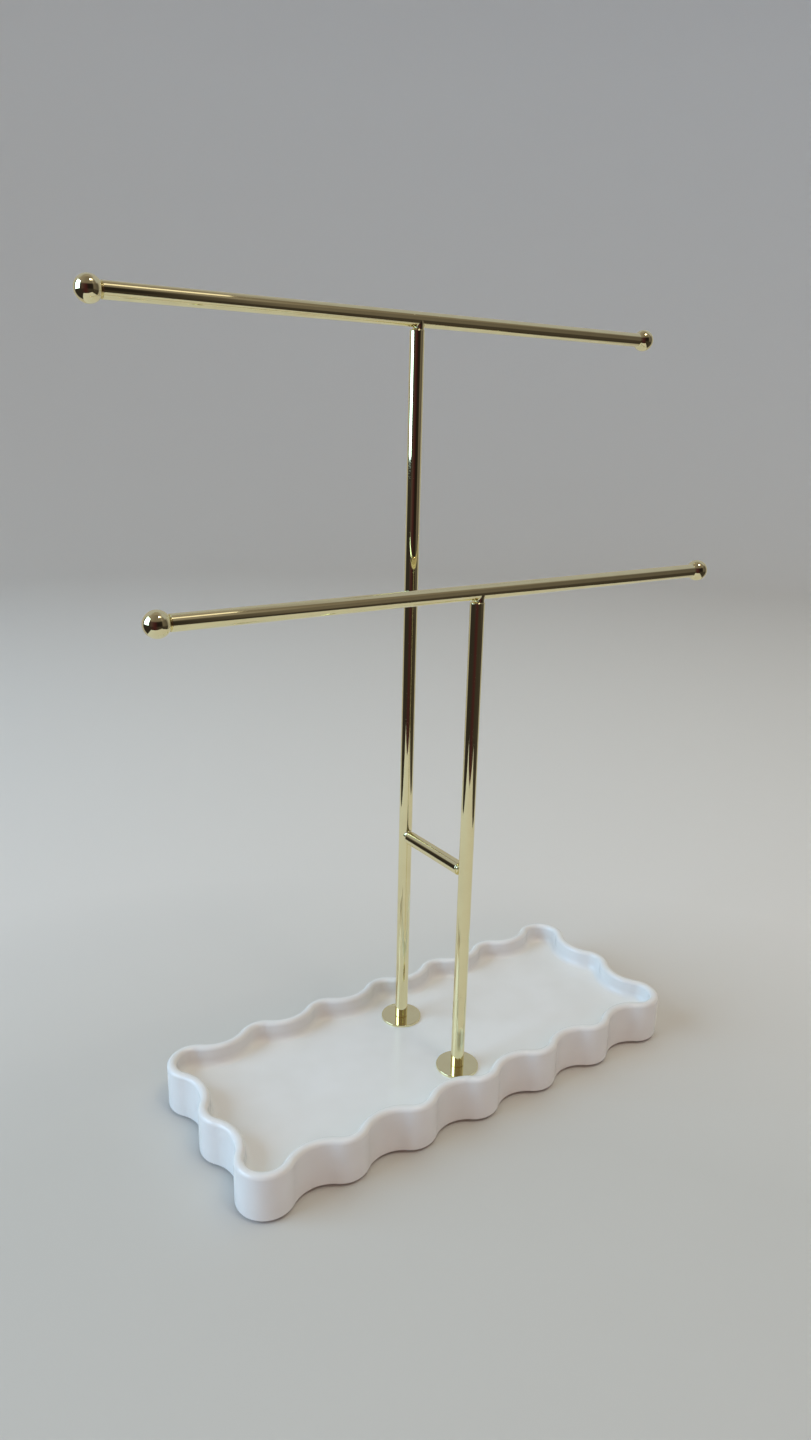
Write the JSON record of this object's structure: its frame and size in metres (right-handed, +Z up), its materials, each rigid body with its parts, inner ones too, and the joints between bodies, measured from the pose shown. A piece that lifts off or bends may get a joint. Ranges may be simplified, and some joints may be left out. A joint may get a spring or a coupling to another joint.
{
  "type": "jewelry stand",
  "caption": "Free-standing jewellery holder with ball-ended T-bars at stepped heights on linked posts, above a shallow scalloped tray that catches rings and small pieces.",
  "frame": {"origin": "middle of the tray's footprint on the surface that the pads stand on", "axes": "+Z up along the posts, +X along the bars and the tray's long side, +Y towards the taller rear holder"},
  "size_m": [0.2236, 0.0774, 0.2807],
  "materials": {
    "glaze": "smooth white gloss glaze",
    "gold_plate": "polished pale gold plating",
    "zinc_steel": "zinc plated",
    "pad_rubber": "matt clear-white silicone"
  },
  "bodies": {
    "root": {"cross_strut": "gold_plate", "front_bar": "gold_plate", "front_flange": "gold_plate", "front_left_ball": "gold_plate", "front_left_pad": "pad_rubber", "front_post": "gold_plate", "front_right_ball": "gold_plate", "front_right_pad": "pad_rubber", "front_screw": "zinc_steel", "front_tee_weld": "gold_plate", "front_washer": "zinc_steel", "rear_bar": "gold_plate", "rear_flange": "gold_plate", "rear_left_ball": "gold_plate", "rear_left_pad": "pad_rubber", "rear_post": "gold_plate", "rear_right_ball": "gold_plate", "rear_right_pad": "pad_rubber", "rear_screw": "zinc_steel", "rear_tee_weld": "gold_plate", "rear_washer": "zinc_steel", "strut_front_weld": "gold_plate", "strut_rear_weld": "gold_plate", "tray": "glaze"}
  },
  "joints": []
}
